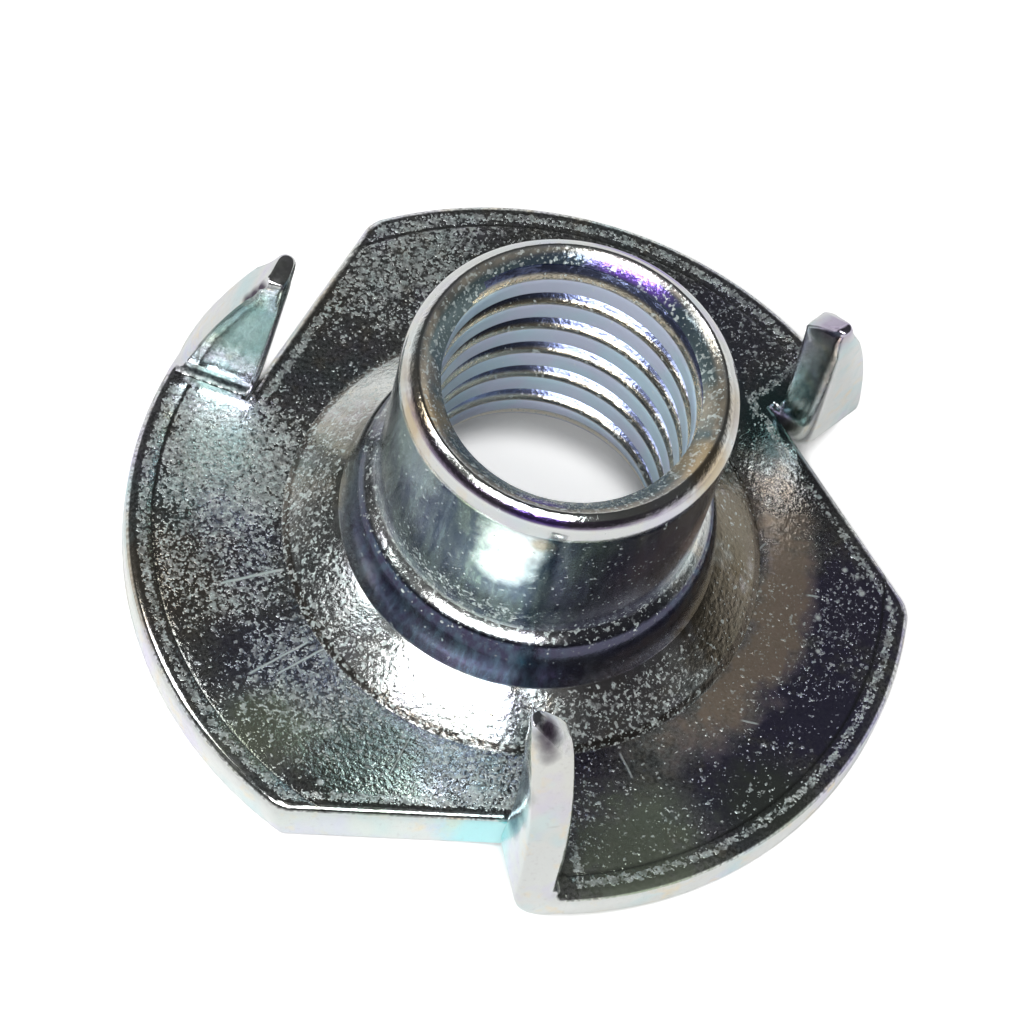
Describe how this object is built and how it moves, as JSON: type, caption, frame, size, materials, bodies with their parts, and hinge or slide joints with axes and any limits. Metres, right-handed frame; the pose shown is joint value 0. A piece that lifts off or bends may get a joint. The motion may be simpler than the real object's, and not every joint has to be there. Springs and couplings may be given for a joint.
{
  "type": "tee nut",
  "caption": "Pressed steel tee nut: a round flange with bent-up prongs round a drawn barrel that is threaded inside, driven into wood to give it a metal thread.",
  "frame": {"origin": "on the axis of the threaded bore, in the plane of the flange's underside", "axes": "+Z along the bore, from the flange towards the barrel's open rim; the prongs point along +Z too. -Y faces the viewer, with one prong a little right of it"},
  "size_m": [0.022, 0.0218, 0.0097],
  "materials": {
    "zinc_steel": "bright zinc plating, clear with a faint blue cast"
  },
  "bodies": {
    "root": {"tee_nut": "zinc_steel"}
  },
  "joints": []
}
